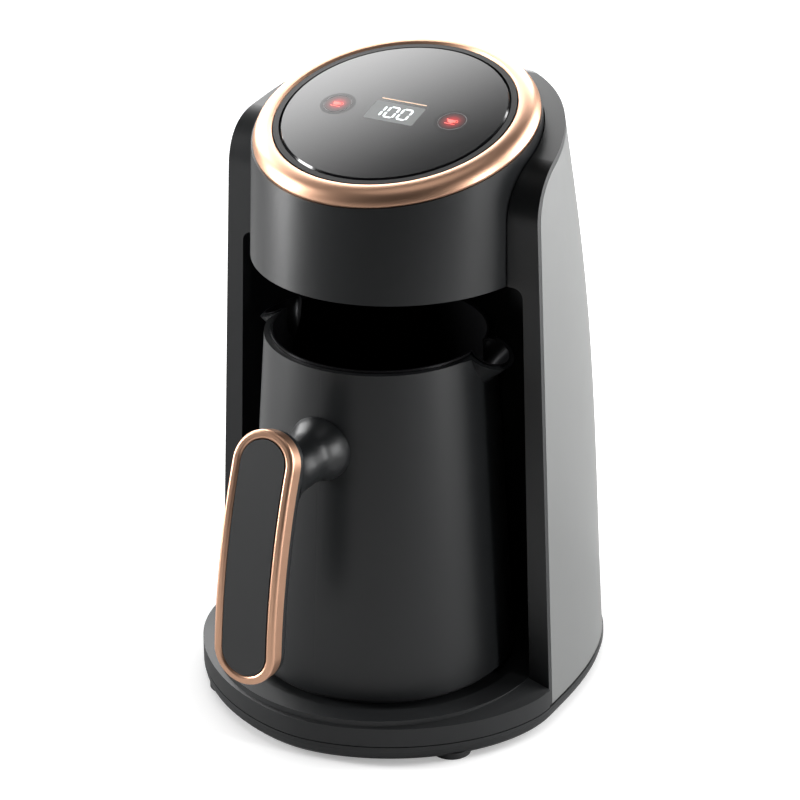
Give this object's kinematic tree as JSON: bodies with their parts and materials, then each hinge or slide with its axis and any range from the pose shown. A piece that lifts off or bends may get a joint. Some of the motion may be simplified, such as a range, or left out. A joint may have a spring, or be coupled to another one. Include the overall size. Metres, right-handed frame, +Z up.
{
  "type": "electric turkish coffee maker",
  "caption": "Tapered coffee pot with curved grip under a tilted touch-control head, on a heated base with a rounded housing and open front bay.",
  "frame": {"origin": "on the table under the middle of the object, on the pot's axis", "axes": "+Z up, -Y towards the pot's handle, +Y towards the back of the housing, +X to the right seen from the front"},
  "size_m": [0.1497, 0.2021, 0.247],
  "materials": {
    "satin_black": "satin moulded",
    "grey_panel": "satin grey lacquer",
    "copper": "satin rose copper",
    "panel_glass": "dark gloss",
    "pot_coating": "satin black coating",
    "pot_inside": "dark coated",
    "soft_black": "soft touch",
    "rubber": "matt",
    "steel": "plain",
    "aluminium": "cast",
    "board": "circuit board"
  },
  "bodies": {
    "housing": {"base_pan": "satin_black", "rubber_foot_1": "rubber", "rubber_foot_2": "rubber", "rubber_foot_3": "rubber", "rubber_foot_4": "rubber", "case_screws": "steel", "deck": "satin_black", "deck_coupler": "soft_black", "main_housing": "satin_black", "wing_left": "satin_black", "wing_right": "satin_black", "bay_lining": "satin_black", "side_panel_left": "grey_panel", "side_panel_right": "grey_panel", "back_cover": "satin_black", "cord_bush": "rubber", "head_shell": "satin_black", "head_floor": "satin_black", "sensor_window": "panel_glass", "control_ring": "copper", "glass_carrier": "satin_black", "glass_disc": "panel_glass", "display_module": "soft_black", "touch_pad_left": "steel", "touch_pad_right": "steel", "control_board": "board", "power_board": "board"},
    "pot": {"pot_jacket": "pot_coating", "pot_liner": "pot_inside", "heater_plate": "aluminium", "thermal_sensor": "steel", "pot_base": "satin_black", "pot_socket": "soft_black", "grip_frame": "copper", "grip_insert": "soft_black", "grip_shell": "satin_black", "handle_post": "satin_black"}
  },
  "joints": [
    {"name": "pot_lift", "type": "slide", "parent": "housing", "child": "pot", "axis": [0, 0, 1], "range_m": [0, 0.02]}
  ]
}
